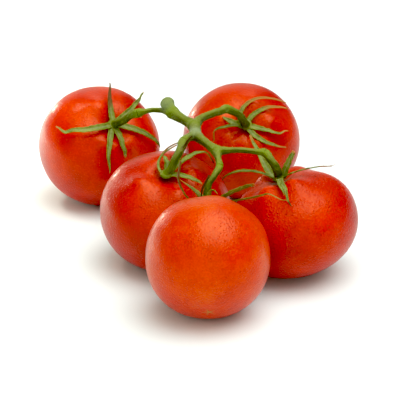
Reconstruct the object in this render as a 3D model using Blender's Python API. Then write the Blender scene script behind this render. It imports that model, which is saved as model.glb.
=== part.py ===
"""A truss of five ripe vine tomatoes, as picked and laid on a flat surface.

The fruits, the vine and the five flower stalks with their calyxes are separate objects.
Sizes are in millimetres and angles in degrees. The model is in metres with +Z up, and its
origin is on the surface, in the middle of the truss.
"""
import math
from collections import namedtuple

import bmesh
import bpy
from mathutils import Matrix, Vector

MM = 0.001            # metres in a millimetre
TOUCH_GAP = 0.3       # room left between two pieces that touch

# Fruits: x and y are the place of the centre. Tilt leans the stem end away from straight up,
# towards the heading, which is counted from +X to +Y.
Fruit = namedtuple("Fruit", "x y width height tilt heading lobes")
FRUITS = (
    Fruit(x=-49.7, y=63.2, width=65.3, height=58, tilt=47, heading=-63, lobes=5),
    Fruit(x=27.5, y=73.2, width=64, height=55, tilt=51, heading=-84, lobes=6),
    Fruit(x=-12.1, y=-19.3, width=65.2, height=54, tilt=24, heading=-86, lobes=5),
    Fruit(x=50.8, y=-30.8, width=63.2, height=51, tilt=19, heading=165, lobes=6),
    Fruit(x=8.5, y=-77, width=58, height=56, tilt=49, heading=91, lobes=5),
)
PLUMPNESS = 2.15      # 2 is an ellipsoid, more is boxier
RINGS = 15
SEGMENTS = 32
RING_CROWDING = 1.25  # rings lie closer together at the stem end
DIMPLE_DEPTH = 3.6    # hollow that the stalk stands in
DIMPLE_WIDTH = 7.5
RIB_HEIGHT = 0.45     # soft ribs over the shoulder, one to each lobe
NAVEL_DEPTH = 0.6     # slight hollow at the blossom end
NAVEL_WIDTH = 6
FLAT_SPOT = 0.3       # height that the fruit's own weight takes off its lowest point
SKIN_ROUGHNESS = 0.3
TRUSS_PLACE = (0.2, 1.4, 0)   # moves the middle of the whole truss to the origin

# Calyx: a small cup in the dimple, and sepals over the skin. A sepal starts at the bearing
# root and ends at the bearing tip, counted round the stalk. Reach is its length along the
# skin, arch and lift are its height over the skin half way and at the tip, and roll turns
# the blade over towards its tip.
CUP_WIDTH = 6.4
CUP_HEIGHT = 3
CUP_CLEARANCE = 0.4
SEPAL_START = 2.2     # distance of a sepal's root from the middle of the cup
ROOT_LIFT = -1.5
EDGE_THICKNESS = 0.6
RIB_THICKNESS = 0.95
CHANNEL = 0.16        # height of a blade's edges over its midrib, as a share of its width
TIP_WIDTH = 0.9
ROOT_PHASE = 0.38     # a blade's width follows a half wave, from this share of it to its end
BLADE_STATIONS = 9
CALYX_ROUGHNESS = 0.65
Sepal = namedtuple("Sepal", "root tip reach width arch lift roll", defaults=(0,))
CALYXES = (
    (
        Sepal(root=110, tip=100, reach=19, width=3.0, arch=1.6, lift=8),
        Sepal(root=45, tip=55, reach=31, width=2.8, arch=2.0, lift=5.5, roll=40),
        Sepal(root=217, tip=182, reach=35, width=3.2, arch=2.5, lift=1.5),
        Sepal(root=250, tip=270, reach=27, width=3.0, arch=2.1, lift=2.4, roll=-30),
        Sepal(root=281, tip=293, reach=19, width=2.6, arch=3.4, lift=1.5),
        Sepal(root=348, tip=351, reach=32, width=3.0, arch=3.0, lift=1.8, roll=30),
    ),
    (
        Sepal(root=137, tip=27, reach=19.5, width=2.6, arch=1.6, lift=10, roll=40),
        Sepal(root=65, tip=23, reach=22, width=2.6, arch=1.6, lift=5.7, roll=30),
        Sepal(root=338, tip=347, reach=22, width=3.0, arch=1.6, lift=3.4, roll=-50),
        Sepal(root=296, tip=327, reach=20.5, width=3.0, arch=1.8, lift=9.5),
        Sepal(root=198, tip=163, reach=13, width=4.0, arch=2.8, lift=1.6),
        Sepal(root=189, tip=204, reach=21.5, width=2.0, arch=5.8, lift=1.6, roll=40),
    ),
    (
        Sepal(root=0, tip=44, reach=12, width=2.2, arch=13, lift=15, roll=60),
        Sepal(root=166, tip=71, reach=13.5, width=3.0, arch=1.7, lift=6, roll=40),
        Sepal(root=130, tip=104, reach=14, width=2.6, arch=1.7, lift=4),
        Sepal(root=5, tip=36, reach=19, width=2.6, arch=8.5, lift=6.4, roll=-30),
        Sepal(root=340, tip=338, reach=17.5, width=3.6, arch=1.7, lift=3, roll=20),
    ),
    (
        Sepal(root=128, tip=109, reach=15.5, width=4.2, arch=4, lift=22),
        Sepal(root=189, tip=163, reach=23, width=2.6, arch=8, lift=12, roll=-30),
        Sepal(root=273, tip=276, reach=31, width=3.6, arch=1.9, lift=2.6, roll=20),
        Sepal(root=285, tip=290, reach=17, width=2.6, arch=2.6, lift=2.6),
        Sepal(root=340, tip=345, reach=9, width=4.2, arch=4.4, lift=11, roll=50),
        Sepal(root=330, tip=350, reach=24, width=2.3, arch=1.9, lift=5, roll=-40),
    ),
    (
        Sepal(root=222, tip=278, reach=6, width=1.6, arch=5.7, lift=11.6, roll=50),
        Sepal(root=205, tip=200, reach=9, width=3.0, arch=5, lift=11, roll=60),
        Sepal(root=320, tip=340, reach=7.5, width=2.6, arch=4, lift=3.5),
        Sepal(root=2, tip=-30, reach=19.5, width=2.8, arch=7, lift=11.5, roll=-20),
        Sepal(root=8, tip=-10, reach=28, width=1.6, arch=5, lift=17, roll=30),
        Sepal(root=190, tip=246, reach=21.5, width=2.2, arch=4.5, lift=18.5, roll=-40),
    ),
)

# Vine: each point is x, y, z and the diameter there. The rachis starts at the cut, and its
# forks are points of its own. A branch runs from its fork to its knuckle, where the fruit's
# own stalk takes over and runs on to the cup.
CUT = (-12.2, 30.5, 68.0, 6.4)
FORK_1 = (-9.2, 24.2, 64.0, 6.4)
FORK_2 = (1.9, 8.0, 62.5, 6.0)
FORK_3 = (2.9, -5.9, 62.8, 5.6)
FORK_5 = (13.0, -28.8, 63.0, 5.2)
RACHIS = (
    CUT,
    FORK_1,
    (-3.7, 16.5, 63.0, 5.2),
    FORK_2,
    FORK_3,
    (7.8, -18.8, 63.4, 4.6),
    FORK_5,
)
FORK_SWELLING = 1.12  # a fork's knob is this much wider than the stem there
BRANCHES = (
    (FORK_1, (-13.7, 29.1, 63.3, 3.4), (-18.9, 32.4, 62.5, 2.6), (-23.6, 31.9, 61.8, 2.9)),
    (FORK_2, (5.4, 19.1, 62.5, 4.2), (10.7, 26.2, 62.5, 3.8), (16.0, 32.4, 62.0, 4.0)),
    (FORK_3, (-0.9, -11.7, 63.5, 4.2)),
    (FORK_5, (18.4, -29.3, 63.5, 3.3), (24.4, -28.2, 63.2, 2.8), (31.8, -28.4, 62.5, 3.0)),
    (FORK_5, (13.6, -37.7, 62.5, 2.9)),
)
KNUCKLES = (
    (-26.8, 32.4, 61.0, 4.8),
    (18.3, 37.0, 61.5, 4.9),
    (-3.3, -19.1, 64.0, 4.9),
    (36.2, -28.6, 62.0, 4.1),
    (14.1, -44.2, 61.0, 3.6),
)
STALKS = (
    ((-31.2, 34.8, 58.5, 3.6), (-35.3, 38.2, 54.5, 4.0)),
    ((22.1, 38.7, 59.5, 4.0), (25.6, 41.6, 56.5, 4.0), (27.4, 45.6, 52.5, 4.2)),
    ((-4.5, -25.3, 62.5, 4.1), (-6.9, -28.6, 59.0, 4.1), (-8.9, -29.9, 55.0, 4.2)),
    ((39.1, -32.3, 59.5, 3.8), (41.6, -32.6, 55.5, 4.1)),
    ((11.7, -49.5, 58.5, 2.9), (9.0, -51.9, 55.0, 3.1), (8.4, -53.3, 51.5, 3.8)),
)
STALK_END_WIDTH = 4.6
TUBE_SIDES = 10
STEPS_PER_SPAN = 3
KNOB_SEGMENTS = 10
KNOB_RINGS = 6
VINE_ROUGHNESS = 0.6

FRUIT_COLOURS = (
    (0.72, 0.045, 0.006, 1.0),
    (0.68, 0.035, 0.006, 1.0),
    (0.68, 0.035, 0.006, 1.0),
    (0.70, 0.040, 0.006, 1.0),
    (0.78, 0.085, 0.008, 1.0),
)
VINE_GREEN = (0.13, 0.22, 0.035, 1.0)
CALYX_GREEN = (0.10, 0.19, 0.03, 1.0)


def finish_material(name, colour, roughness):
    """Plain Principled material."""
    material = bpy.data.materials.new(name)
    material.use_nodes = True
    shader = material.node_tree.nodes["Principled BSDF"]
    shader.inputs["Base Color"].default_value = colour
    shader.inputs["Roughness"].default_value = roughness
    shader.inputs["Metallic"].default_value = 0.0
    material.diffuse_color = colour
    return material


def skin_point(fruit, polar, bearing):
    """Point of the fruit's rounded outline, polar radians from the stem end, in millimetres."""
    side, rise = math.sin(polar), math.cos(polar)
    plump = (abs(side) ** PLUMPNESS + abs(rise) ** PLUMPNESS) ** (-1 / PLUMPNESS)
    across = fruit.width / 2 * plump * side
    along = fruit.height / 2 * plump * rise
    return Vector((across * math.cos(bearing), across * math.sin(bearing), along))


def dimpled_point(fruit, polar, bearing):
    """The same point with the ribs of the shoulder and the hollows at both ends."""
    point = skin_point(fruit, polar, bearing)
    across = math.hypot(point.x, point.y)
    if polar < math.pi / 2:
        point.z += RIB_HEIGHT * math.cos(fruit.lobes * bearing) * math.sin(2 * polar)
        point.z -= DIMPLE_DEPTH * math.exp(-((across / DIMPLE_WIDTH) ** 2))
    else:
        point.z += NAVEL_DEPTH * math.exp(-((across / NAVEL_WIDTH) ** 2))
    return point


def fruit_rings(fruit):
    """The two ends and the rings between them, stem end first."""
    rings = []
    for ring in range(1, RINGS):
        polar = math.pi * (ring / RINGS) ** RING_CROWDING
        turns = [2 * math.pi * segment / SEGMENTS for segment in range(SEGMENTS)]
        rings.append([dimpled_point(fruit, polar, turn) for turn in turns])
    return [[dimpled_point(fruit, 0, 0)]] + rings + [[dimpled_point(fruit, math.pi, 0)]]


def fruit_frame(fruit):
    """Place and turn of the fruit: its stem end along its axis, its lowest point on Z = 0."""
    tilt, heading = math.radians(fruit.tilt), math.radians(fruit.heading)
    level = math.sin(tilt)
    axis = Vector((level * math.cos(heading), level * math.sin(heading), math.cos(tilt)))
    side = (Vector((1, 0, 0)) - axis * axis.x).normalized()
    turn = Matrix((side, axis.cross(side), axis)).transposed()
    lowest = min((turn @ point).z for ring in fruit_rings(fruit) for point in ring)
    place = Vector((fruit.x, fruit.y, -lowest - FLAT_SPOT))
    return Matrix.Translation(place) @ turn.to_4x4()


def mesh_object(name, mesh, material):
    """Object in the scene with one material, shaded smooth."""
    mesh.materials.clear()
    mesh.materials.append(material)
    mesh.shade_smooth()
    made = bpy.data.objects.new(name, mesh)
    bpy.context.scene.collection.objects.link(made)
    return made


def body_from(bm, name, material):
    """Object from a bmesh, with every face pointing out."""
    bmesh.ops.recalc_face_normals(bm, faces=bm.faces)
    mesh = bpy.data.meshes.new(name)
    bm.to_mesh(mesh)
    bm.free()
    return mesh_object(name, mesh, material)


def make_fruit(name, fruit, material):
    """A fruit, cut flat where it rests."""
    frame = fruit_frame(fruit)
    bm = bmesh.new()
    rings = [[bm.verts.new(point * MM) for point in ring] for ring in fruit_rings(fruit)]
    for upper, lower in zip(rings, rings[1:]):
        for segment in range(SEGMENTS):
            following = (segment + 1) % SEGMENTS
            if len(upper) == 1:
                bm.faces.new((upper[0], lower[segment], lower[following]))
            elif len(lower) == 1:
                bm.faces.new((upper[segment], lower[0], upper[following]))
            else:
                bm.faces.new((upper[segment], lower[segment], lower[following], upper[following]))
    place = Matrix.Translation(frame.translation * MM) @ frame.to_3x3().to_4x4()
    back = place.inverted()
    cut = bmesh.ops.bisect_plane(
        bm, geom=bm.verts[:] + bm.edges[:] + bm.faces[:], clear_inner=True,
        plane_co=back.translation, plane_no=back.to_3x3() @ Vector((0, 0, 1)),
    )
    edges = [item for item in cut["geom_cut"] if isinstance(item, bmesh.types.BMEdge)]
    bmesh.ops.holes_fill(bm, edges=edges)
    made = body_from(bm, name, material)
    made.matrix_world = place
    return made


def smooth_route(points, steps=STEPS_PER_SPAN):
    """Points and diameters along a smooth curve through hand-placed stations."""
    stations = [Vector(point) for point in points]
    before = stations[0] * 2 - stations[1]
    after = stations[-1] * 2 - stations[-2]
    padded = [before] + stations + [after]
    route = []
    for index in range(1, len(padded) - 2):
        p0, p1, p2, p3 = padded[index - 1:index + 3]
        for step in range(steps):
            t = step / steps
            route.append(0.5 * (
                2 * p1 + (p2 - p0) * t + (2 * p0 - 5 * p1 + 4 * p2 - p3) * t ** 2
                + (3 * p1 - p0 - 3 * p2 + p3) * t ** 3
            ))
    route.append(stations[-1])
    return route


def sweep(rings, name, material, mirror_under=None):
    """Closed body through a row of rings, with flat ends.

    Where mirror_under is given, sides from that one on are split along the other diagonal,
    so that both faces of a thin blade are split alike.
    """
    bm = bmesh.new()
    rows = [[bm.verts.new(point * MM) for point in ring] for ring in rings]
    sides = len(rows[0])
    for near, far in zip(rows, rows[1:]):
        for side in range(sides):
            beside = (side + 1) % sides
            a, b, c, d = near[side], near[beside], far[beside], far[side]
            if mirror_under is not None and side >= mirror_under:
                a, b, c, d = b, c, d, a
            bm.faces.new((a, b, c))
            bm.faces.new((a, c, d))
    bm.faces.new(rows[0])
    bm.faces.new(rows[-1])
    return body_from(bm, name, material)


def tube(route, name, material, start_along=None, end_along=None):
    """Round stem along a route of points with diameters, its ends square to given directions."""
    places = [point.to_3d() for point in route]
    last = len(places) - 1
    across = Vector((0, 0, 1))
    rings = []
    for index, place in enumerate(places):
        along = places[min(index + 1, last)] - places[max(index - 1, 0)]
        if index == 0 and start_along:
            along = start_along
        if index == last and end_along:
            along = end_along
        along = along.normalized()
        across = (across - along * across.dot(along)).normalized()
        other = along.cross(across)
        radius = route[index][3] / 2
        turns = [2 * math.pi * side / TUBE_SIDES for side in range(TUBE_SIDES)]
        rings.append([
            place + (across * math.cos(turn) + other * math.sin(turn)) * radius for turn in turns
        ])
    return sweep(rings, name, material)


def knob(place, width, height, turn, name, material):
    """Small rounded swelling."""
    bm = bmesh.new()
    bmesh.ops.create_uvsphere(bm, u_segments=KNOB_SEGMENTS, v_segments=KNOB_RINGS, radius=0.5)
    size = Matrix.Diagonal((width * MM, width * MM, height * MM, 1))
    bm.transform(Matrix.Translation(place * MM) @ turn.to_4x4() @ size)
    return body_from(bm, name, material)


def unite(pieces, name, material):
    """One closed body from pieces that overlap."""
    tools = bpy.data.collections.new(name + "_parts")
    bpy.context.scene.collection.children.link(tools)
    for piece in pieces[1:]:
        tools.objects.link(piece)
    union = pieces[0].modifiers.new("union", "BOOLEAN")
    union.operation = "UNION"
    union.operand_type = "COLLECTION"
    union.solver = "EXACT"
    union.collection = tools
    whole = pieces[0].evaluated_get(bpy.context.evaluated_depsgraph_get())
    mesh = bpy.data.meshes.new_from_object(whole)
    for piece in pieces:
        bpy.data.objects.remove(piece)
    bpy.data.collections.remove(tools)
    mesh.name = name
    return mesh_object(name, mesh, material)


def cup_place(fruit):
    """Middle of the cup in the fruit's dimple, where its stalk ends."""
    middle = fruit.height / 2 - DIMPLE_DEPTH + CUP_CLEARANCE + CUP_HEIGHT / 2
    return fruit_frame(fruit) @ Vector((0, 0, middle))


def sepal_blade(fruit, frame, sepal, name, material):
    """Thin channelled blade that follows the skin of its fruit."""
    places, ups = [], []
    for station in range(BLADE_STATIONS):
        t = station / (BLADE_STATIONS - 1)
        polar = (SEPAL_START + (sepal.reach - SEPAL_START) * t) / (fruit.width / 2)
        bearing = math.radians(sepal.root + (sepal.tip - sepal.root) * t)
        on_skin = skin_point(fruit, polar, bearing)
        up = Vector((
            on_skin.x / fruit.width ** 2, on_skin.y / fruit.width ** 2,
            on_skin.z / fruit.height ** 2,
        )).normalized()
        height = (
            ROOT_LIFT * (1 - t) * (1 - 2 * t) + sepal.arch * 4 * t * (1 - t)
            + sepal.lift * t * (2 * t - 1)
        )
        places.append(frame @ (on_skin + up * height))
        ups.append(frame.to_3x3() @ up)
    rings = []
    for station, place in enumerate(places):
        t = station / (BLADE_STATIONS - 1)
        ahead = places[min(station + 1, BLADE_STATIONS - 1)]
        behind = places[max(station - 1, 0)]
        along = (ahead - behind).normalized()
        side = along.cross(ups[station]).normalized()
        side.rotate(Matrix.Rotation(math.radians(sepal.roll * t), 3, along))
        up = side.cross(along)
        fullness = math.sin(math.pi * (ROOT_PHASE + (1 - ROOT_PHASE) * t))
        half = (TIP_WIDTH + (sepal.width - TIP_WIDTH) * fullness) / 2
        edge = EDGE_THICKNESS / 2
        rib = edge + (RIB_THICKNESS / 2 - edge) * fullness
        rim = CHANNEL * half * 2
        rings.append([
            place + side * across + up * above for across, above in (
                (-half, rim + edge), (0, rib), (half, rim + edge),
                (half, rim - edge), (0, -rib), (-half, rim - edge),
            )
        ])
    return sweep(rings, name, material, mirror_under=3)


def make_calyx(number, fruit, stalk_route, along, material):
    """A fruit's own stalk, from its knuckle, with the cup and the sepals."""
    frame = fruit_frame(fruit)
    name = f"calyx_{number}"
    cup = knob(cup_place(fruit), CUP_WIDTH, CUP_HEIGHT, frame.to_3x3(), name, material)
    pieces = [cup, tube(stalk_route, name + "_stalk", material, start_along=along)]
    for index, sepal in enumerate(CALYXES[number - 1]):
        pieces.append(sepal_blade(fruit, frame, sepal, f"{name}_sepal_{index}", material))
    return unite(pieces, name, material)


def split_at_knuckle(number, fruit):
    """Routes of the branch and of the stalk, a gap apart, and their direction at the knuckle."""
    branch, knuckle, stalk = BRANCHES[number - 1], KNUCKLES[number - 1], STALKS[number - 1]
    stations = branch + (knuckle,) + stalk + ((*cup_place(fruit), STALK_END_WIDTH),)
    route = smooth_route(stations)
    joint = len(branch) * STEPS_PER_SPAN
    along = (route[joint + 1].to_3d() - route[joint - 1].to_3d()).normalized()
    half_gap = (along * TOUCH_GAP / 2).to_4d()
    half_gap.w = 0
    before = route[:joint] + [route[joint] - half_gap]
    after = [route[joint] + half_gap] + route[joint + 1:]
    return before, after, along


def make_vine(branches, material):
    """The rachis with its forks and branches, up to the knuckles."""
    pieces = [tube(smooth_route(RACHIS), "rachis", material)]
    for index, (route, along) in enumerate(branches):
        pieces.append(tube(route, f"branch_{index}", material, end_along=along))
    for index, fork in enumerate((FORK_1, FORK_2, FORK_3, FORK_5)):
        width = fork[3] * FORK_SWELLING
        pieces.append(
            knob(Vector(fork[:3]), width, width, Matrix.Identity(3), f"fork_{index}", material)
        )
    return unite(pieces, "truss_stem", material)


def make_truss():
    """All the pieces, under one empty."""
    vine_green = finish_material("vine_green", VINE_GREEN, VINE_ROUGHNESS)
    calyx_green = finish_material("calyx_green", CALYX_GREEN, CALYX_ROUGHNESS)
    pieces, branches = [], []
    for number, (fruit, colour) in enumerate(zip(FRUITS, FRUIT_COLOURS), start=1):
        skin = finish_material(f"tomato_skin_{number}", colour, SKIN_ROUGHNESS)
        branch_route, stalk_route, along = split_at_knuckle(number, fruit)
        branches.append((branch_route, along))
        pieces.append(make_fruit(f"tomato_{number}", fruit, skin))
        pieces.append(make_calyx(number, fruit, stalk_route, along, calyx_green))
    pieces.append(make_vine(branches, vine_green))
    truss = bpy.data.objects.new("truss", None)
    truss.location = Vector(TRUSS_PLACE) * MM
    bpy.context.scene.collection.objects.link(truss)
    for piece in pieces:
        piece.parent = truss


for leftover in list(bpy.data.objects):
    bpy.data.objects.remove(leftover)
make_truss()
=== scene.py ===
import math
import random
from collections import namedtuple
from functools import cache

import bpy
import numpy as np
from mathutils import Matrix, Vector, kdtree, noise


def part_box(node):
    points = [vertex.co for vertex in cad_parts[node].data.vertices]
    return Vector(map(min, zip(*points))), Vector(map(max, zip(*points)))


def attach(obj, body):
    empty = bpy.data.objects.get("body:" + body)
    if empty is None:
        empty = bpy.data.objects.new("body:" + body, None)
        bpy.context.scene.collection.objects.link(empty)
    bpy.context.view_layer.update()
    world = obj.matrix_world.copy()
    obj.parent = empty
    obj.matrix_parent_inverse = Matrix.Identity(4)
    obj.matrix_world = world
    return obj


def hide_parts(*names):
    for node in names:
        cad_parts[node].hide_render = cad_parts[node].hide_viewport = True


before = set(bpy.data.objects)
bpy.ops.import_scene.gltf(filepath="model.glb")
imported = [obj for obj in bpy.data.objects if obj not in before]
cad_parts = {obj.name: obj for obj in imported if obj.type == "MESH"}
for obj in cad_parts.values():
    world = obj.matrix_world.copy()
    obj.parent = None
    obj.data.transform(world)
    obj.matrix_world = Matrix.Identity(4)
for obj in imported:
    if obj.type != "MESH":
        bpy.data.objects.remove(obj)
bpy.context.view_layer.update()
bpy.ops.object.select_all(action="DESELECT")


# Tomatoes. Five ripe fruits, each of soft flesh in one thin, taut, waxy skin. A fruit swells
# round its stalk into soft shoulders, with faint ribs over its seed chambers, and its own
# weight flattens the spot that it lies on. Sizes here are in millimetres.
MM = 0.001
TRUSS_PLACE = Vector((0.2, 1.4, 0))  # added to every place below, so that the truss is centred
# A fruit has its middle, its width and its height along its own axis, the tilt of its stem end
# from upright and where that heads, how orange, glossy and pitted it is, and where round the
# stem end it bulges. Angles are in degrees.
Fruit = namedtuple("Fruit", "x y width height tilt heading lobes blush gloss pits bulges")
FRUITS = (
    Fruit(x=-49.7, y=63.2, width=65.3, height=58, tilt=47, heading=-63, lobes=5,
          blush=0.28, gloss=0.46, pits=0.2, bulges=(130, 240, 273, 315)),
    Fruit(x=27.5, y=73.2, width=64, height=55, tilt=51, heading=-84, lobes=6,
          blush=0.24, gloss=0.46, pits=0.2, bulges=(15, 80, 165, 231, 307)),
    Fruit(x=-12.1, y=-19.3, width=65.2, height=54, tilt=24, heading=-86, lobes=5,
          blush=0.14, gloss=0.48, pits=0.6, bulges=(18, 100, 195, 300)),
    Fruit(x=50.8, y=-30.8, width=63.2, height=51, tilt=19, heading=165, lobes=6,
          blush=0.30, gloss=0.40, pits=1.0, bulges=(45, 120, 235, 300)),
    Fruit(x=8.5, y=-77, width=58, height=56, tilt=49, heading=91, lobes=5,
          blush=0.56, gloss=0.56, pits=0.6, bulges=()),
)
PLUMPNESS = 2.15   # 2 is an ellipsoid, and more is squarer
FLAT_SPOT = 0.3    # how far the lowest point is pressed in
DIMPLE_DEPTH, DIMPLE_WIDTH = 3.6, 7.5
RIB_HEIGHT = 0.45
CREASE_DEPTH, CREASE_REACH = 0.1, 15  # furrows between the lobes, close to the calyx
CREASE_SHARPNESS = 4                  # more is narrower
BULGE_HEIGHT, BULGE_SIZE, BULGE_OUT = 2.0, 5.3, 14  # soft shoulders between the sepals
NAVEL_DEPTH, NAVEL_WIDTH = 0.6, 6
SWELL_HEIGHT, SWELL_SIZE, SWELL_SHIFT = 0.25, 22, 7  # broad unevenness, its own on each fruit
SEGMENTS, RINGS = 160, 112
PROBE_RINGS, PROBE_SECTORS = 90, 96   # places tried to find a fruit's lowest point


def rounded_point(fruit, polar, bearing):
    """Point of the fruit's plump outline, polar radians from its stem end."""
    side, rise = math.sin(polar), math.cos(polar)
    plump = (abs(side) ** PLUMPNESS + abs(rise) ** PLUMPNESS) ** (-1 / PLUMPNESS)
    across = fruit.width / 2 * plump * side
    along = fruit.height / 2 * plump * rise
    return Vector((across * math.cos(bearing), across * math.sin(bearing), along))


def skin_point(fruit, polar, bearing):
    """The same point with the dimple, ribs and furrows of the stem end, or the navel."""
    point = rounded_point(fruit, polar, bearing)
    across = math.hypot(point.x, point.y)
    if polar < math.pi / 2:
        lobe = math.cos(fruit.lobes * bearing)
        point.z += RIB_HEIGHT * lobe * math.sin(2 * polar)
        furrow = (0.5 - 0.5 * lobe) ** CREASE_SHARPNESS
        furrow *= math.exp(-((across / CREASE_REACH) ** 2))
        point.z -= CREASE_DEPTH * furrow * min(1, across / DIMPLE_WIDTH)
        point.z -= DIMPLE_DEPTH * math.exp(-((across / DIMPLE_WIDTH) ** 2))
        for place in fruit.bulges:
            turn = bearing - math.radians(place)
            apart = across * across + BULGE_OUT ** 2 - 2 * across * BULGE_OUT * math.cos(turn)
            point.z += BULGE_HEIGHT * math.exp(-apart / BULGE_SIZE ** 2)
    else:
        point.z += NAVEL_DEPTH * math.exp(-((across / NAVEL_WIDTH) ** 2))
    return point


@cache
def fruit_place(fruit):
    """Matrix that lays the fruit down: stem end along its axis, lowest point just pressed flat."""
    tilt, heading = math.radians(fruit.tilt), math.radians(fruit.heading)
    level = math.sin(tilt)
    axis = Vector((level * math.cos(heading), level * math.sin(heading), math.cos(tilt)))
    side = (Vector((1, 0, 0)) - axis * axis.x).normalized()
    turn = Matrix((side, axis.cross(side), axis)).transposed()
    polars = [math.pi * step / PROBE_RINGS for step in range(PROBE_RINGS + 1)]
    bearings = [2 * math.pi * step / PROBE_SECTORS for step in range(PROBE_SECTORS)]
    lowest = min((turn @ skin_point(fruit, p, b)).z for p in polars for b in bearings)
    middle = Vector((fruit.x, fruit.y, -lowest - FLAT_SPOT)) + TRUSS_PLACE
    return Matrix.Translation(middle) @ turn.to_4x4()


def points_of(piece):
    """The vertices of a piece as rows of x, y, z in metres."""
    points = np.empty(len(piece.data.vertices) * 3)
    piece.data.vertices.foreach_get("co", points)
    return points.reshape(-1, 3)


def fit_to_node(piece, node):
    """Brings the box of a piece to exactly that of the CAD node that it stands for."""
    low, high = (np.array(corner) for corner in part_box(node))
    points = points_of(piece)
    start, end = points.min(0), points.max(0)
    points = low + (points - start) * (high - low) / (end - start)
    piece.data.vertices.foreach_set("co", points.ravel())
    piece.data.update()


class Value:
    """A socket of a material's nodes. Its operators add Math nodes, so sums read as sums."""

    def __init__(self, material, socket=None):
        self.material = material
        self.socket = socket

    def node(self, kind, settings, inputs, output=0):
        """Adds a node: settings first, then the values or the links of its sockets."""
        tree = self.material.node_tree
        made = tree.nodes.new("ShaderNode" + kind)
        for name, setting in settings.items():
            if name == "stops":
                ramp = made.color_ramp.elements
                while len(ramp) < len(setting):
                    ramp.new(0.5)
                for stop, (position, colour) in zip(ramp, setting):
                    stop.position = position
                    stop.color = (*colour, 1)
            else:
                setattr(made, name, setting)
        for name, value in inputs.items():
            if isinstance(value, Value):
                tree.links.new(value.socket, made.inputs[name])
            else:
                made.inputs[name].default_value = value
        return Value(self.material, made.outputs[output])

    def math(self, operation, *operands):
        return self.node("Math", {"operation": operation}, dict(enumerate(operands)))

    def __add__(self, other):
        return self.math("ADD", self, other)

    def __radd__(self, other):
        return self.math("ADD", other, self)

    def __sub__(self, other):
        return self.math("SUBTRACT", self, other)

    def __rsub__(self, other):
        return self.math("SUBTRACT", other, self)

    def __mul__(self, other):
        return self.math("MULTIPLY", self, other)

    def __rmul__(self, other):
        return self.math("MULTIPLY", other, self)

    def __truediv__(self, other):
        return self.math("DIVIDE", self, other)

    def __pow__(self, other):
        return self.math("POWER", self, other)

    def rise(self, low, high):
        """0 up to low, 1 from high on, and a smooth step between."""
        return self.node(
            "MapRange", {"interpolation_type": "SMOOTHSTEP"},
            {"Value": self, "From Min": low, "From Max": high},
        )

    def fall(self, low, high):
        return 1 - self.rise(low, high)

    def noise(self, size, detail=2):
        """Cloudy noise from 0 to 1 on this place. Size is that of a cloud, in millimetres."""
        return self.node(
            "TexNoise", {}, {"Vector": self, "Scale": 1 / (size * MM), "Detail": detail},
        )

    def spots(self, spacing):
        """Distance to the nearest of scattered spots, in shares of their spacing."""
        return self.node("TexVoronoi", {}, {"Vector": self, "Scale": 1 / (spacing * MM)})

    def mix(self, colour, other):
        """Colour where this is 0, and other where it is 1."""
        colour, other = (
            (*shade, 1) if isinstance(shade, tuple) and len(shade) == 3 else shade
            for shade in (colour, other)
        )
        return self.node("Mix", {"data_type": "RGBA"}, {0: self, 6: colour, 7: other}, 2)

    def part(self, name):
        """The x, y or z of this place."""
        return self.node("SeparateXYZ", {}, {"Vector": self}, name)


def new_material(name):
    """A material with only its own shader, which is returned too."""
    material = bpy.data.materials.new(name)
    material.use_nodes = True
    return material, material.node_tree.nodes["Principled BSDF"]


def finish_with(material, shader, colour, roughness, relief, depth, **constants):
    """Links what varies over the surface and sets the constants on the shader's sockets."""
    links = material.node_tree.links
    links.new(colour.socket, shader.inputs["Base Color"])
    links.new(roughness.socket, shader.inputs["Roughness"])
    bump = Value(material).node("Bump", {}, {"Height": relief, "Distance": depth * MM})
    links.new(bump.socket, shader.inputs["Normal"])
    for name, constant in constants.items():
        shader.inputs[name.replace("_", " ")].default_value = constant


DEEP_RED = (0.36, 0.002, 0.001)
RED = (0.44, 0.006, 0.001)
ORANGE_RED = (0.56, 0.026, 0.001)
ORANGE = (0.63, 0.078, 0.002)
FRECKLE_ORANGE = (0.92, 0.28, 0.05)
PORE_RED = (0.45, 0.010, 0.001)
SCAR_TAN = (0.45, 0.22, 0.07)
PAINTED_HOLLOW_SHADE = (0.16, 0.030, 0.004)
WARM_GLOSS = (1.0, 0.82, 0.36, 1)
CLOUD_SIZE, PATCH_SIZE, MOTTLE_SIZE, GRAIN_SIZE = 26, 9, 5, 0.9
SHOULDER_AND_LIT_TOP_SHARE = 0.22                   # how far each pattern turns the skin orange
CLOUD_SHARE, MOTTLE_SHARE, GRAIN_SHARE, STREAK_SHARE = 1.1, 0.45, 0.6, 0.5
FAN_WIDTH, FAN_DRIFT = 0.006, 0.00012   # streaks that fan out of the stem end
FRECKLE_SPACING, PORE_SPACING = 1.1, 1.7
FRECKLE_STRENGTH, PORE_STRENGTH, PAINTED_SHADE_STRENGTH = 0.18, 0.6, 0.65
SKIN_ROUGHNESS, MOTTLE_ROUGHNESS, SCAR_ROUGHNESS = 0.27, 0.12, 0.3
SMOOTH_RELIEF, PITTED_RELIEF = 0.08, 0.14


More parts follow.
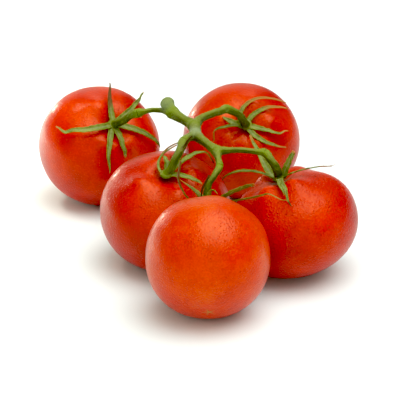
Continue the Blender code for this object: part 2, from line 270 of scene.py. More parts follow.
def tomato_skin(number, fruit, place):
    """Red skin, more orange towards the stem end (partly the shoulders' own tone, partly painted light
    on the tops), with clouds, streaks, freckles and pores, and painted shade in the dimple round the
    stalk.
    """
    material, shader = new_material(f"tomato_skin_{number}")
    start = Value(material)
    spot = start.node("TexCoord", {}, {}, "Object")
    spot = start.node("Mapping", {"vector_type": "TEXTURE"}, {
        "Vector": spot, "Location": place.translation * MM,
        "Rotation": place.to_euler(),
    })
    along = spot.part("Z") / (fruit.height / 2 * MM)
    x, y = spot.part("X"), spot.part("Y")
    across = (x * x + y * y) ** 0.5 / MM
    bearing = start.math("ARCTAN2", y, x)
    shifted = start.node("VectorMath", {"operation": "ADD"}, {0: spot, 1: (number, 0, 0)})

    clouds = shifted.noise(CLOUD_SIZE, 1.5)
    mottle = shifted.noise(MOTTLE_SIZE, 3)
    fan = start.node("CombineXYZ", {}, {
        "X": start.math("COSINE", bearing) * FAN_WIDTH,
        "Y": start.math("SINE", bearing) * FAN_WIDTH,
        "Z": across * FAN_DRIFT + number,
    })
    streaks = fan.noise(0.6, 2)
    # Partly painted light: the stem end turns more orange, in part the skin's own shoulder tone and in
    # part standing in for the tops lit from overhead.
    shoulder_and_lit_top = along.rise(-0.1, 1.0)
    grain = shifted.noise(GRAIN_SIZE, 2)
    orange = fruit.blush + shoulder_and_lit_top * SHOULDER_AND_LIT_TOP_SHARE
    orange = orange + (clouds - 0.5) * CLOUD_SHARE + (mottle - 0.5) * MOTTLE_SHARE
    orange = orange + (grain - 0.5) * GRAIN_SHARE
    fanned = across.rise(3, 8) * across.fall(12, 24)
    orange = orange + (streaks - 0.5) * STREAK_SHARE * fanned
    colour = orange.node("ValToRGB", {"stops": (
        (0.0, DEEP_RED), (0.28, RED), (0.6, ORANGE_RED), (1.0, ORANGE),
    )}, {"Fac": orange})

    freckle_spots = shifted.spots(FRECKLE_SPACING)
    patches = shifted.noise(PATCH_SIZE, 1)
    freckles = freckle_spots.fall(0.10, 0.28) * patches.rise(0.5, 0.7)
    colour = (freckles * FRECKLE_STRENGTH).mix(colour, FRECKLE_ORANGE)
    pores = shifted.spots(PORE_SPACING).fall(0.10, 0.24) * patches.rise(0.3, 0.5)
    colour = (pores * (PORE_STRENGTH * fruit.pits)).mix(colour, PORE_RED)
    # Painted shade: the dimple round the stalk is darkened to a dull brown-red, where shade falls.
    painted_hollow_shade = across.fall(DIMPLE_WIDTH / 3, DIMPLE_WIDTH) * along.rise(0, 0.2)
    colour = (painted_hollow_shade * PAINTED_SHADE_STRENGTH).mix(colour, PAINTED_HOLLOW_SHADE)
    star = across * (1.5 + start.math("COSINE", bearing * 5)) / 2.5
    scar = star.fall(0.35, 0.8) * (0 - along).rise(0, 0.2)
    colour = scar.mix(colour, SCAR_TAN)

    pimples = freckle_spots.fall(0.1, 0.55) * (0.3 + patches * 1.4)
    roughness = SKIN_ROUGHNESS + mottle * MOTTLE_ROUGHNESS + scar * SCAR_ROUGHNESS
    relief = grain + pimples * 0.6 - pores * 1.6 + scar
    finish_with(
        material, shader, colour, roughness, relief, SMOOTH_RELIEF + PITTED_RELIEF * fruit.pits,
        Specular_IOR_Level=fruit.gloss, Specular_Tint=WARM_GLOSS,
        Coat_Weight=0.12, Coat_Roughness=0.12, Coat_IOR=1.4,
    )
    return material


for number, fruit in enumerate(FRUITS, start=1):
    place = fruit_place(fruit)
    bpy.ops.mesh.primitive_uv_sphere_add(segments=SEGMENTS, ring_count=RINGS, radius=1)
    tomato = bpy.context.object
    tomato.name = f"fruit_{number}"
    for vertex in tomato.data.vertices:
        polar = math.acos(max(-1, min(1, vertex.co.z)))
        point = skin_point(fruit, polar, math.atan2(vertex.co.y, vertex.co.x))
        swell = noise.noise(point / SWELL_SIZE + Vector((number * SWELL_SHIFT, 0, 0)))
        point += point.normalized() * swell * SWELL_HEIGHT
        laid = place @ point
        laid.z = max(laid.z, 0)
        vertex.co = laid * MM
    fit_to_node(tomato, f"tomato_{number}")
    bpy.ops.object.shade_smooth()
    tomato.data.materials.append(tomato_skin(number, fruit, place))
    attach(tomato, "root")
    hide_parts(f"tomato_{number}")


# Vine. One juicy green stem, cut from the plant above its first fork. It is a little ridged
# and lumpy, swells at its forks and at the five knuckles that the fruits' own stalks grow
# from, and is covered in short pale down. Each point is x, y, z and the diameter there.
CUT = (-11.9, 28.4, 67.4, 6.6)
CUT_SWELLING, CUT_REACH, CUT_ROUNDING = 7.3, 1.3, 0.35
CUT_FACE = Vector((-0.35, -0.55, 0.76)).normalized()  # the way that the cut end faces
NECK = (-10.8, 26.6, 66.4, 5.9)
FORK_1 = (-9.2, 24.2, 64.0, 6.4)
FORK_2 = (1.9, 8.0, 62.5, 6.0)
FORK_3 = (2.9, -5.9, 62.8, 5.6)
FORK_5 = (13.0, -28.8, 63.0, 5.2)
RACHIS = (
    CUT,
    NECK,
    FORK_1,
    (-3.7, 16.5, 63.0, 5.0),
    FORK_2,
    FORK_3,
    (7.8, -18.8, 63.4, 4.2),
    FORK_5,
)
BRANCHES = (
    (FORK_1, (-13.7, 29.1, 63.3, 3.4), (-18.9, 32.4, 62.5, 2.6), (-23.6, 31.9, 61.8, 2.9)),
    (FORK_2, (5.4, 19.1, 62.5, 4.2), (10.7, 26.2, 62.5, 3.8), (16.0, 32.4, 62.0, 4.0)),
    (FORK_3, (-0.9, -11.7, 63.5, 4.2)),
    (FORK_5, (18.4, -29.3, 63.5, 3.3), (24.4, -28.2, 63.2, 2.8), (31.8, -28.4, 62.5, 3.0)),
    (FORK_5, (13.6, -37.7, 62.5, 2.9)),
)
KNUCKLES = (
    (-26.8, 32.4, 61.0, 4.8),
    (18.3, 37.0, 61.5, 4.9),
    (-3.3, -19.1, 64.0, 4.9),
    (36.2, -28.6, 62.0, 4.1),
    (14.1, -44.2, 61.0, 3.6),
)
STALKS = (
    ((-31.2, 34.8, 58.5, 3.6), (-35.3, 38.2, 54.5, 4.0)),
    ((22.1, 38.7, 59.5, 4.0), (25.6, 41.6, 56.5, 4.0), (27.4, 45.6, 52.5, 4.2)),
    ((-4.5, -25.3, 62.5, 4.1), (-6.9, -28.6, 59.0, 4.1), (-8.9, -29.9, 55.0, 4.2)),
    ((39.1, -32.3, 59.5, 3.8), (41.6, -32.6, 55.5, 4.1)),
    ((11.7, -49.5, 58.5, 2.9), (9.0, -51.9, 55.0, 3.1), (8.4, -53.3, 51.5, 3.8)),
)
STALK_END_WIDTH = 4.3
CUP_WIDTH, CUP_HEIGHT, CUP_CLEARANCE = 6.4, 3, 0.4
FORK_SWELLING = 1.12
TOUCH_GAP = 0.12
BUMPS, BUMP_WIDTHS, BUMP_REACH = 16, (1.3, 2.4), 2.5   # small knobs round the third fork
BUMP_SEED = 5
ROUTE_STEPS = 10
TUBE_ROUNDNESS = 4
KNOB_SEGMENTS, KNOB_RINGS = 24, 16
STEM_VOXEL = 0.3
SMOOTH_PASSES = 6


def smooth_route(points):
    """Points and diameters along a smooth curve through listed stations."""
    stations = [Vector(point) for point in points]
    before = stations[0] * 2 - stations[1]
    after = stations[-1] * 2 - stations[-2]
    padded = [before] + stations + [after]
    route = []
    for index in range(1, len(padded) - 2):
        p0, p1, p2, p3 = padded[index - 1:index + 3]
        for step in range(ROUTE_STEPS):
            t = step / ROUTE_STEPS
            route.append(0.5 * (
                2 * p1 + (p2 - p0) * t + (2 * p0 - 5 * p1 + 4 * p2 - p3) * t ** 2
                + (3 * p1 - p0 - 3 * p2 + p3) * t ** 3
            ))
    route.append(stations[-1])
    return route


def cup_place(fruit):
    """Middle of the cup in the fruit's dimple, where its stalk ends."""
    return fruit_place(fruit) @ Vector(
        (0, 0, fruit.height / 2 - DIMPLE_DEPTH + CUP_CLEARANCE + CUP_HEIGHT / 2)
    )


def split_at_knuckle(number, fruit):
    """Routes of the branch and of the stalk, which meet at the knuckle with a narrow gap."""
    branch, knuckle, stalk = BRANCHES[number - 1], KNUCKLES[number - 1], STALKS[number - 1]
    end = cup_place(fruit) - TRUSS_PLACE
    route = smooth_route(branch + (knuckle,) + stalk + ((*end, STALK_END_WIDTH),))
    joint = len(branch) * ROUTE_STEPS
    along = (route[joint + 1].to_3d() - route[joint - 1].to_3d()).normalized()
    half_gap = (along * TOUCH_GAP / 2).to_4d()
    half_gap.w = 0
    before = route[:joint] + [route[joint] - half_gap]
    after = [route[joint] + half_gap] + route[joint + 1:]
    return before, after


def stem_tube(name, route):
    """Round stem swept along a route of points and diameters."""
    curve = bpy.data.curves.new(name, "CURVE")
    curve.dimensions = "3D"
    curve.bevel_depth = MM / 2   # so that a point's radius below is its diameter
    curve.bevel_resolution = TUBE_ROUNDNESS
    curve.use_fill_caps = True
    spline = curve.splines.new("POLY")
    spline.points.add(len(route) - 1)
    for point, (x, y, z, diameter) in zip(spline.points, route):
        point.co = (*((Vector((x, y, z)) + TRUSS_PLACE) * MM), 1)
        point.radius = diameter
    tube = bpy.data.objects.new(name, curve)
    bpy.context.scene.collection.objects.link(tube)
    bpy.ops.object.select_all(action="DESELECT")
    tube.select_set(True)
    bpy.context.view_layer.objects.active = tube
    bpy.ops.object.convert(target="MESH")
    return tube


def knob(point, width, height=None, turn=None):
    """Rounded swelling of a stem. The point is in the truss's own place."""
    bpy.ops.mesh.primitive_uv_sphere_add(segments=KNOB_SEGMENTS, ring_count=KNOB_RINGS, radius=0.5)
    swelling = bpy.context.object
    size = Matrix.Diagonal((width * MM, width * MM, (height or width) * MM, 1))
    turn = turn.to_4x4() if turn else Matrix.Identity(4)
    middle = (Vector(point[:3]) + TRUSS_PLACE) * MM
    swelling.data.transform(Matrix.Translation(middle) @ turn @ size)
    return swelling


def join(pieces, name):
    """One object from several."""
    bpy.ops.object.select_all(action="DESELECT")
    for piece in pieces:
        piece.select_set(True)
    bpy.context.view_layer.objects.active = pieces[0]
    bpy.ops.object.join()
    pieces[0].name = name
    return pieces[0]


def apply_modifier(piece, kind, **settings):
    """Adds a modifier and applies it."""
    bpy.context.view_layer.objects.active = piece
    modifier = piece.modifiers.new(kind.lower(), kind)
    for name, value in settings.items():
        setattr(modifier, name, value)
    bpy.ops.object.modifier_apply(modifier=modifier.name)


def grow_together(pieces, name, voxel):
    """Melts overlapping stems into one skin, smooth at the forks."""
    whole = join(pieces, name)
    apply_modifier(whole, "REMESH", mode="VOXEL", voxel_size=voxel * MM)
    apply_modifier(whole, "SMOOTH", factor=0.5, iterations=SMOOTH_PASSES)
    return whole


RIDGES = 6
RIDGE_HEIGHT = 0.07
TWIST_LENGTH, TWIST_TURN = 14, 3      # the ridges wind to and fro
LUMP_HEIGHT, LUMP_SIZE = 0.16, 2.6
FINE_SHARE, FINE_TIMES = 0.4, 3       # smaller lumps on the lumps


def nearness(places, spots):
    """1 at any of the spots, and less with the distance. Each spot has its own reach."""
    near = np.zeros(len(places))
    for spot, reach in spots:
        apart = np.linalg.norm(places - np.array(spot[:3]), axis=1)
        near = np.maximum(near, np.exp(-((apart / reach) ** 2)))
    return near


def shape_stem(piece, routes, fresh, bleached=()):
    """Raises ridges and lumps along the routes, and marks fresh and bleached places, and how far each
    place faces up, for painted top light.
    """
    stations = []
    for route in routes:
        for index, station in enumerate(route):
            ahead, behind = route[min(index + 1, len(route) - 1)], route[max(index - 1, 0)]
            stations.append((station.to_3d(), (ahead - behind).to_3d().normalized()))
    tree = kdtree.KDTree(len(stations))
    for index, (point, _) in enumerate(stations):
        tree.insert(point, index)
    tree.balance()
    mesh = piece.data
    places = points_of(piece) / MM - np.array(TRUSS_PLACE)
    # Painted top light: how far each place faces up, so that the rind is paler on top and darker
    # below.
    sun = [vertex.normal.z for vertex in mesh.vertices]
    marks = {"fresh": nearness(places, fresh), "bleached": nearness(places, bleached), "sun": sun}
    for name, values in marks.items():
        mesh.attributes.new(name, "FLOAT", "POINT").data.foreach_set("value", values)
    for vertex in mesh.vertices:
        place = vertex.co / MM - TRUSS_PLACE
        middle, index, _ = tree.find(place)
        along = stations[index][1]
        outward = place - middle
        outward -= along * outward.dot(along)
        side = along.cross(Vector((0, 0, 1)))
        turn = math.atan2(outward.dot(side), outward.z)
        twist = noise.noise(middle / TWIST_LENGTH) * TWIST_TURN
        raised = RIDGE_HEIGHT * math.cos(RIDGES * turn + twist)
        raised += LUMP_HEIGHT * noise.noise(place / LUMP_SIZE)
        raised += LUMP_HEIGHT * FINE_SHARE * noise.noise(place / LUMP_SIZE * FINE_TIMES)
        if outward.length > 0.01:
            vertex.co += outward.normalized() * raised * MM
    mesh.update()


VINE_HAIRS, VINE_HAIR_LENGTH, VINE_SEED = 3500, 0.8, 3
CALYX_HAIRS, CALYX_HAIR_LENGTH = 900, 0.7
HAIR_RADIUS, HAIR_ROOT = 0.034, 0.1   # the root is sunk in the rind
HAIR_LEAN = 0.45                      # how far a hair may lean, where 1 is 45 degrees
SHORTEST_HAIR = 0.45                  # of the full length


def add_down(piece, count, length, seed, material):
    """Short straight hairs that stand out of the piece, in its own mesh."""
    draw = random.Random(seed)
    mesh = piece.data
    areas = [polygon.area for polygon in mesh.polygons]
    points, faces = [], []
    for polygon in draw.choices(mesh.polygons, weights=areas, k=count):
        root = polygon.center - polygon.normal * HAIR_ROOT * MM
        lean = Vector([draw.uniform(-1, 1) for _ in range(3)])
        reach = length * draw.uniform(SHORTEST_HAIR, 1) * MM
        tip = root + (polygon.normal + lean * HAIR_LEAN).normalized() * reach
        side = polygon.normal.orthogonal().normalized() * HAIR_RADIUS * MM
        other = polygon.normal.cross(side)
        first = len(points)
        points += [root + side, root - side / 2 + other, root - side / 2 - other, tip]
        faces += [(first + a, first + b, first + c) for a, b, c in
                  ((0, 1, 3), (1, 2, 3), (2, 0, 3), (0, 2, 1))]
    down = bpy.data.meshes.new("down")
    down.from_pydata(points, [], faces)
    down.materials.append(material)
    hairs = bpy.data.objects.new("down", down)
    bpy.context.scene.collection.objects.link(hairs)
    return join([piece, hairs], piece.name)


DARK_GREEN = (0.045, 0.062, 0.004)
STEM_GREEN = (0.100, 0.130, 0.008)
# Pale green of the painted top light, and of the small pale flecks.
LIT_TOP_AND_FLECK_GREEN = (0.235, 0.285, 0.050)
PALE_GREEN = (0.270, 0.350, 0.220)
FRESH_GREEN = (0.190, 0.290, 0.012)
HAIR_GREEN = (0.30, 0.36, 0.16)
HAIR_PALE = (0.62, 0.66, 0.42)
RIND_ROUGHNESS, FINE_ROUGHNESS = 0.5, 0.25
RIND_RELIEF, HAIR_RELIEF = 0.16, 0.01


def rind_tones(spot, start):
    """Green of the vine: painted top light, paler on the faces that point up and darker below,
    yellow-green where fresh, grey-green where bleached.
    """
    fresh, bleached, sun = (
        start.node("Attribute", {"attribute_name": name}, {}, "Fac")
        for name in ("fresh", "bleached", "sun")
    )
    clouds = spot.noise(4, 3)
    fine = spot.noise(0.6, 3)
    tone = clouds * 0.6 + fine * 0.4
    colour = tone.rise(0.3, 0.75).mix(DARK_GREEN, STEM_GREEN)
    # Painted top light: paler green on the faces that point up.
    colour = (sun.rise(0.3, 1.0) * (0.3 + tone * 0.7)).mix(colour, LIT_TOP_AND_FLECK_GREEN)
    colour = (fresh * (0.25 + clouds * 0.7)).mix(colour, FRESH_GREEN)
    colour = (bleached * (0.5 + clouds * 0.8)).mix(colour, PALE_GREEN)
    flecks = spot.noise(1.2, 4).rise(0.62, 0.74)
    return (flecks * 0.35).mix(colour, LIT_TOP_AND_FLECK_GREEN), clouds, fine


def green_stem():
    """Matt green rind."""
    material, shader = new_material("vine_rind")
    start = Value(material)
    spot = start.node("TexCoord", {}, {}, "Object")
    colour, clouds, fine = rind_tones(spot, start)
    roughness = RIND_ROUGHNESS + fine * FINE_ROUGHNESS
    finish_with(
        material, shader, colour, roughness, fine + clouds, RIND_RELIEF, Specular_IOR_Level=0.3,
    )
    return material


def down_hair():
    """Colourless hair, which looks whitish green against the light."""
    material, shader = new_material("down")
    start = Value(material)
    spot = start.node("TexCoord", {}, {}, "Object")
    tone = spot.noise(2, 1)
    colour = tone.mix(HAIR_GREEN, HAIR_PALE)
    finish_with(material, shader, colour, 0.4 + tone * 0.1, tone, HAIR_RELIEF)
    return material


vine_rind = green_stem()
down_material = down_hair()
routes = [smooth_route(RACHIS)]
stalk_routes = []
for number, fruit in enumerate(FRUITS, start=1):
    branch_route, stalk_route = split_at_knuckle(number, fruit)
    routes.append(branch_route)
    stalk_routes.append(stalk_route)
parts = [stem_tube(f"stem_{index}", route) for index, route in enumerate(routes)]
parts += [knob(fork, fork[3] * FORK_SWELLING) for fork in (FORK_1, FORK_2, FORK_3, FORK_5)]
parts.append(knob(CUT, CUT_SWELLING))
draw = random.Random(BUMP_SEED)
for _ in range(BUMPS):
    outward = Vector((draw.uniform(-1, 1), draw.uniform(-1, 1), draw.uniform(-0.5, 1))).normalized()
    parts.append(knob(Vector(FORK_3[:3]) + outward * BUMP_REACH, draw.uniform(*BUMP_WIDTHS)))
vine = grow_together(parts, "vine", STEM_VOXEL)
fresh_spots = [(FORK_1, 5), (FORK_2, 4), (FORK_5, 4)] + [(knuckle, 4) for knuckle in KNUCKLES]
shape_stem(vine, routes, fresh_spots, bleached=[(CUT, 3.5), (FORK_3, 4.5)])
cut_through = (Vector(CUT[:3]) + TRUSS_PLACE + CUT_FACE * CUT_REACH) * MM
for vertex in vine.data.vertices:
    beyond = (vertex.co - cut_through).dot(CUT_FACE)
    if (vertex.co - cut_through).length < CUT_SWELLING * MM:
        rounded = -CUT_ROUNDING * MM * math.log1p(math.exp(-beyond / (CUT_ROUNDING * MM)))
        vertex.co += CUT_FACE * (rounded - beyond)
vine.data.materials.append(vine_rind)
vine = add_down(vine, VINE_HAIRS, VINE_HAIR_LENGTH, VINE_SEED, down_material)
bpy.ops.object.shade_smooth()
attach(vine, "root")
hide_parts("truss_stem")


# Stalks with their calyxes. Each fruit's own stalk runs from its knuckle to a small cup in
# the dimple, and six long thin sepals grow out of the cup. They have dried a little, so
# their edges wave and roll, and their tips curl, turn tan or brown and fray into threads.
CALYX_VOXEL = 0.22
SEPAL_START = 2.2                        # from the fruit's axis
ROOT_LIFT = -1.5
CHANNEL = 0.16
ROOT_PHASE = 0.46                        # a blade is widest just beyond its root
BLADE_ALONG, BLADE_ACROSS = 40, 6
BLADE_THICKNESS = 0.42
BLADE_NEAR = 1                           # what is nearer to a blade's points belongs to it
WAVE_HEIGHT, WAVE_LENGTH = 0.32, 5.5
EDGE_SHIFT = 1.3                         # one edge's waves run ahead of the other's
WAVER, WAVER_RATE = 0.07, 1.9            # slight changes of the width
WANDER = 4                               # degrees that the middle line strays by
KINK_START, KINK_RATE = 0.78, 8          # where the tip of a blade turns aside, and how fast
LOOK_AHEAD = 0.01                        # share of the length over which its direction is taken
WAVE_STEP = 1.7                          # so that no two blades of a calyx wave alike
MIDRIB_NARROWNESS = 2.5                  # 1 is a midrib as wide as the blade
# A sepal has the bearing of its root and its tip in degrees, how far out it reaches, its width,
# how high its middle arches and its tip lifts, its turn along its length and at its root, the
# bend of its tip, how much of it is dry, how brown that is, its width at the tip, and the
# length and turn of its threads.
Sepal = namedtuple(
    "Sepal", "root tip reach width arch lift roll face kink dry brown end fray",
    defaults=(0, 0, 0, 0.12, 0, 0.5, ()),
)
CALYXES = (
    (
        Sepal(root=110, tip=100, reach=19, width=3.4, arch=1.6, lift=8, dry=1, brown=0.8),
        Sepal(root=45, tip=55, reach=31, width=3.2, arch=2.0, lift=5.5, roll=40),
        Sepal(root=215, tip=191, reach=32, width=3.6, arch=4.5, lift=1.5, kink=-8, dry=0.2),
        Sepal(root=250, tip=270, reach=27, width=3.6, arch=2.1, lift=2.4, roll=-30),
        Sepal(root=281, tip=293, reach=19, width=3.4, arch=3.4, lift=1.5, end=1.4),
        Sepal(root=348, tip=351, reach=32, width=3.4, arch=3.0, lift=1.8, roll=30),
    ),
    (
        Sepal(root=156, tip=28, reach=18.5, width=2.6, arch=1.6, lift=10.6, roll=40, dry=0.75),
        Sepal(root=65, tip=23, reach=22, width=2.8, arch=1.6, lift=5.7, roll=30, dry=0.7),
        Sepal(root=338, tip=347, reach=22, width=3.2, arch=1.6, lift=3.4, roll=-50, kink=7, dry=0.3),
        Sepal(root=296, tip=327, reach=20.5, width=3.2, arch=1.8, lift=9.5, dry=0.25),
        Sepal(root=198, tip=163, reach=13, width=4.0, arch=2.8, lift=1.6),
        Sepal(root=205, tip=196, reach=20, width=2.0, arch=9, lift=1.6, roll=40, kink=12, dry=0.4),
    ),
    (
        Sepal(root=40, tip=44, reach=11.7, width=2.6, arch=5, lift=15.6, roll=60, dry=0.5, brown=1),
        Sepal(root=171, tip=68, reach=12.1, width=1.2, arch=2.1, lift=8.5, roll=40, dry=0.5,
              brown=0.5),
        Sepal(root=160, tip=69, reach=13.5, width=1.0, arch=1.6, lift=6.2, roll=40, dry=0.3),
        Sepal(root=81, tip=101, reach=8.7, width=3.0, arch=1.7, lift=2.6, roll=20, end=1.2),
        Sepal(root=11, tip=27, reach=21.4, width=3.2, arch=9.5, lift=6.4, roll=-30, kink=-12,
              dry=0.2, brown=1),
        Sepal(root=340, tip=338, reach=18, width=3.0, arch=1.7, lift=3, roll=20, end=0.9),
    ),
    (
        Sepal(root=128, tip=109, reach=15.5, width=4.6, arch=4, lift=22, end=1.0),
        Sepal(root=189, tip=163, reach=23, width=2.2, arch=9.2, lift=12, roll=-30, dry=0.2, brown=0.6),
        Sepal(root=275, tip=275, reach=29, width=2.8, arch=1.9, lift=2.6, roll=20, dry=0.15,
              brown=0.9, fray=((2, 25), (1.5, -40))),
        Sepal(root=268, tip=272, reach=22, width=2.6, arch=1.6, lift=1.8, roll=-20),
        Sepal(root=340, tip=345, reach=9, width=3.6, arch=4.4, lift=11, face=75, end=1.9),
        Sepal(root=330, tip=350, reach=23, width=2.3, arch=1.9, lift=5, roll=-40, dry=0.3,
              brown=0.4, fray=((3.6, -15), (6.2, 40))),
    ),
    (
        Sepal(root=195, tip=278, reach=6.9, width=1.8, arch=1.8, lift=10.7, face=80, dry=3, brown=1,
              end=0.9),
        Sepal(root=258, tip=195, reach=8.5, width=2.8, arch=2.9, lift=11.3, face=50, dry=0.2,
              fray=((3, 60), (2.6, -50), (3.4, -5))),
        Sepal(root=276, tip=314, reach=6.8, width=2.4, arch=4, lift=2.2),
        Sepal(root=3, tip=-37, reach=21.4, width=2.7, arch=6.4, lift=10.6, roll=-20, end=1.2),
        Sepal(root=25, tip=-36, reach=31.5, width=1.5, arch=6.2, lift=15.5, roll=30, kink=14, dry=0.3),
        Sepal(root=178, tip=247, reach=20.8, width=2.2, arch=3.2, lift=17.7, face=-60, dry=0.7,
              brown=0.7, end=0.9),
    ),
)


def sepal_line(fruit, place, sepal, t):
    """Middle of a sepal at a share t of its length, and the skin's own outward direction."""
    polar = (SEPAL_START + (sepal.reach - SEPAL_START) * t) / (fruit.width / 2)
    bent = max(0, min(1, (t - KINK_START) * KINK_RATE))
    bearing = sepal.root + (sepal.tip - sepal.root) * t + sepal.kink * bent
    bearing += WANDER * t * noise.noise((t * 4, sepal.root, sepal.reach))
    bearing = math.radians(bearing)
    on_skin = rounded_point(fruit, polar, bearing)
    up = Vector((
        on_skin.x / fruit.width ** 2, on_skin.y / fruit.width ** 2,
        on_skin.z / fruit.height ** 2,
    )).normalized()
    height = (
        ROOT_LIFT * (1 - t) * (1 - 2 * t) + sepal.arch * 4 * t * (1 - t)
        + sepal.lift * t * (2 * t - 1)
    )
    return place @ (on_skin + up * height), place.to_3x3() @ up


def sepal_blade(fruit, place, sepal, seed, marks):
    """Thin channelled blade with waved edges, which follows the skin of its fruit."""
    bpy.ops.mesh.primitive_grid_add(
        x_subdivisions=BLADE_ACROSS, y_subdivisions=BLADE_ALONG, size=1,
    )
    blade = bpy.context.object
    length = sepal.reach + abs(sepal.lift)
    for vertex in blade.data.vertices:
        across, t = vertex.co.x * 2, vertex.co.y + 0.5
        middle, up = sepal_line(fruit, place, sepal, t)
        ahead = sepal_line(fruit, place, sepal, t + LOOK_AHEAD)[0]
        along = (ahead - sepal_line(fruit, place, sepal, t - LOOK_AHEAD)[0]).normalized()
        side = along.cross(up).normalized()
        side.rotate(Matrix.Rotation(math.radians(sepal.face + sepal.roll * t), 3, along))
        up = side.cross(along)
        fullness = math.sin(math.pi * (ROOT_PHASE + (1 - ROOT_PHASE) * t))
        half = (sepal.end + (sepal.width - sepal.end) * fullness) / 2
        edge = across * abs(across)
        shift = EDGE_SHIFT if across > 0 else 0
        ripple = math.sin(t * length / WAVE_LENGTH * 2 * math.pi + seed + shift)
        half *= 1 + WAVER * math.sin(t * length * WAVER_RATE + seed * 2 + across)
        height = CHANNEL * 2 * half * across * across
        height += WAVE_HEIGHT * ripple * abs(edge) * math.sin(math.pi * min(1, t * 1.05)) * half / 2
        point = middle + side * across * half + up * height
        vertex.co = point * MM
        marks.append((point, max(0, 1 - (1 - t) / sepal.dry), across, sepal.brown))
    apply_modifier(
        blade, "SOLIDIFY", thickness=BLADE_THICKNESS * MM, offset=0, use_even_offset=True,
    )
    apply_modifier(blade, "SUBSURF", levels=1, render_levels=1)
    bpy.ops.object.mode_set(mode="EDIT")
    bpy.ops.mesh.select_all(action="SELECT")
    bpy.ops.mesh.normals_make_consistent(inside=False)
    bpy.ops.object.mode_set(mode="OBJECT")
    return blade


THREAD_WIDTH, THREAD_TAPER, THREAD_STEPS = 0.4, 0.7, 6
THREAD_ROOT, THREAD_AIM = 0.97, 0.93   # shares of the blade's length


def frayed_tip(fruit, place, sepal, marks):
    """Fine dry threads at the tip of a sepal, each with its own length and turn in degrees."""
    end, up = sepal_line(fruit, place, sepal, THREAD_ROOT)
    along = (end - sepal_line(fruit, place, sepal, THREAD_AIM)[0]).normalized()
    threads = []
    for length, turn in sepal.fray:
        spot, way, route = end, along, []
        for step in range(THREAD_STEPS):
            width = THREAD_WIDTH * (1 - THREAD_TAPER * step / THREAD_STEPS)
            route.append((*(spot - TRUSS_PLACE), width))
            marks.append((spot, 1, 1, sepal.brown))
            way = Matrix.Rotation(math.radians(turn / THREAD_STEPS), 3, up) @ way
            spot = spot + way * length / THREAD_STEPS
        threads.append(stem_tube("thread", route))
    return threads


BLADE_GREEN = (0.100, 0.130, 0.012)
BLADE_PALE = (0.250, 0.300, 0.065)
DRY_TAN = (0.400, 0.190, 0.050)
DRY_BROWN = (0.060, 0.030, 0.012)
LEAF_RELIEF = 0.12


def calyx_leaf():
    """Matt green with a pale midrib, a dark grain along the blade, and tan or brown dry tips."""
    material, shader = new_material("calyx_green")
    start = Value(material)
    spot = start.node("TexCoord", {}, {}, "Object")
    rib, dry, brown, blade = (
        start.node("Attribute", {"attribute_name": name}, {}, "Fac")
        for name in ("rib", "dry", "brown", "blade")
    )
    colour, clouds, fine = rind_tones(spot, start)
    leaf = (clouds * 0.5 + fine * 0.5).rise(0.3, 0.7).mix(BLADE_GREEN, BLADE_PALE)
    leaf = (rib * 0.4).mix(leaf, PALE_GREEN)
    colour = blade.mix(colour, leaf)
    tip = brown.mix(DRY_TAN, DRY_BROWN)
    colour = (dry + (clouds - 0.5) * 0.5).rise(0.15, 0.65).mix(colour, tip)
    roughness = RIND_ROUGHNESS + fine * FINE_ROUGHNESS
    finish_with(
        material, shader, colour, roughness, fine + clouds, LEAF_RELIEF, Specular_IOR_Level=0.3,
    )
    return material


leaf_material = calyx_leaf()
for number, fruit in enumerate(FRUITS, start=1):
    place = fruit_place(fruit)
    route = stalk_routes[number - 1]
    cup = knob(cup_place(fruit) - TRUSS_PLACE, CUP_WIDTH, CUP_HEIGHT, place.to_3x3())
    stalk = stem_tube("stalk", route)
    calyx = grow_together([stalk, cup], f"stalk_and_calyx_{number}", CALYX_VOXEL)
    shape_stem(calyx, [route], [(KNUCKLES[number - 1], 3.5), (route[-1], 3)])
    marks = []
    blades = [
        sepal_blade(fruit, place, sepal, index * WAVE_STEP + number, marks)
        for index, sepal in enumerate(CALYXES[number - 1])
    ]
    for sepal in CALYXES[number - 1]:
        blades += frayed_tip(fruit, place, sepal, marks)
    calyx = join([calyx] + blades, calyx.name)
    tree = kdtree.KDTree(len(marks))
    for index, mark in enumerate(marks):
        tree.insert(mark[0], index)
    tree.balance()
    names = ("dry", "rib", "brown", "blade")
    attributes = [calyx.data.attributes.new(name, "FLOAT", "POINT") for name in names]
    for vertex in calyx.data.vertices:
        _, index, distance = tree.find(vertex.co / MM)
        if distance < BLADE_NEAR:
            dryness, across, brown = marks[index][1:]
            values = dryness, max(0, 1 - abs(across) * MIDRIB_NARROWNESS), brown, 1
            for attribute, value in zip(attributes, values):
                attribute.data[vertex.index].value = value
    calyx.data.materials.append(leaf_material)
    calyx = add_down(calyx, CALYX_HAIRS, CALYX_HAIR_LENGTH, number, down_material)
    bpy.ops.object.shade_smooth()
    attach(calyx, "root")
    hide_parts(f"calyx_{number}")


# Surface. A wide white matt board just below the flat spots of the fruits. It is the stage,
# and no part of the truss.
BOARD_SIZE, BOARD_DROP = 8, 0.05 * MM   # in metres
BOARD_WHITE = (0.80, 0.89, 0.93, 1)

bpy.ops.mesh.primitive_plane_add(size=BOARD_SIZE)
board = bpy.context.object
board.name = "board"
board.data.transform(Matrix.Translation((0, 0, -BOARD_DROP)))
board_white, board_shader = new_material("board_white")
board_shader.inputs["Base Color"].default_value = BOARD_WHITE
board_shader.inputs["Roughness"].default_value = 0.85
board_shader.inputs["Specular IOR Level"].default_value = 0.2
board.data.materials.append(board_white)


# Light. A wide soft panel overhead, a lamp above the surface on the left, a small window low
# behind on the left, and a pale room that is brightest round the panel, and bright behind, on
# the left and low in front.
ROOM_LEVEL = 0.18
ROOM_CREAM = (1, 0.97, 0.80)
PANEL_WHITE = (1, 0.98, 0.93)
BLACK_LEVEL = 0.03   # what is darker turns black


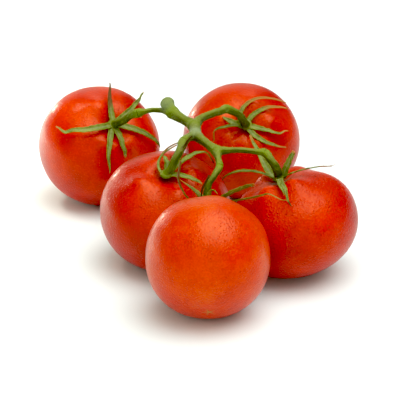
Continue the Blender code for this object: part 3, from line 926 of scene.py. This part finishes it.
def soft_light(name, place, aim, size, watts, colour, spread=180):
    """Rectangular soft light that faces a point."""
    bpy.ops.object.light_add(type="AREA", location=place)
    light = bpy.context.object
    light.name = name
    light.data.shape = "RECTANGLE"
    light.data.size, light.data.size_y = size
    light.data.energy = watts
    light.data.color = colour
    light.data.spread = math.radians(spread)
    light.rotation_euler = (Vector(aim) - Vector(place)).to_track_quat("-Z", "Y").to_euler()


soft_light("overhead", place=(0.26, -0.14, 1.0), aim=(0, 0, 0), size=(0.9, 0.9), watts=4.6,
           colour=PANEL_WHITE)
soft_light("left_floor", place=(-0.44, 0.28, 0.45), aim=(-0.44, 0.28, 0), size=(0.4, 0.5),
           watts=4.5, colour=(1, 0.95, 0.78), spread=70)
soft_light("back_left", place=(-0.75, 1.2, 0.17), aim=(0, 0, 0.04), size=(0.10, 0.06),
           watts=2.8, colour=(1, 0.9, 0.75))
world = bpy.data.worlds.new("studio")
world.use_nodes = True
room = Value(world)
direction = room.node("TexCoord", {}, {}, "Generated")


def glow(azimuth, elevation, reach):
    """1 where the room is brightest, fading to 0 at a reach in degrees all round."""
    azimuth, elevation = math.radians(azimuth), math.radians(elevation)
    level = math.cos(elevation)
    middle = (level * math.sin(azimuth), level * math.cos(azimuth), math.sin(elevation))
    facing = room.node(
        "VectorMath", {"operation": "DOT_PRODUCT"}, {0: direction, 1: middle}, "Value",
    )
    return facing.rise(math.cos(math.radians(reach)), 1)


low = (
    ROOM_LEVEL
    + glow(azimuth=-70, elevation=0, reach=50) * 0.3     # on the left
    + glow(azimuth=-8, elevation=24, reach=32) * 0.9     # behind
    + glow(azimuth=200, elevation=22, reach=60) * 1.0    # in front
    + glow(azimuth=166, elevation=8, reach=25) * 1.3     # low in front
)
high = glow(azimuth=118, elevation=74, reach=48) * 2.4   # round the panel
strength = low + high
tint = (high / strength).mix(ROOM_CREAM, PANEL_WHITE)
background = world.node_tree.nodes["Background"]
world.node_tree.links.new(tint.socket, background.inputs["Color"])
world.node_tree.links.new(strength.socket, background.inputs["Strength"])
bpy.context.scene.world = world
view = bpy.context.scene.view_settings
view.view_transform = "Standard"
view.use_curve_mapping = True
view.curve_mapping.black_level = (BLACK_LEVEL, BLACK_LEVEL, BLACK_LEVEL)
view.curve_mapping.update()


# Camera. It looks slightly down at the middle of the truss from 0.8 m, through a long lens,
# so that the near and the far fruits look much alike in size.
CAMERA_AIM = Vector((0.0051, -0.0094, 0.030))
CAMERA_ELEVATION = math.radians(22.5)
CAMERA_DISTANCE = 0.8
LENS, SENSOR_WIDTH = 144, 36

back = Vector((0, -math.cos(CAMERA_ELEVATION), math.sin(CAMERA_ELEVATION)))
bpy.ops.object.camera_add(
    location=CAMERA_AIM + back * CAMERA_DISTANCE,
    rotation=(math.pi / 2 - CAMERA_ELEVATION, 0, 0),
)
camera = bpy.context.object
camera.data.lens = LENS
camera.data.sensor_width = SENSOR_WIDTH
bpy.context.scene.camera = camera
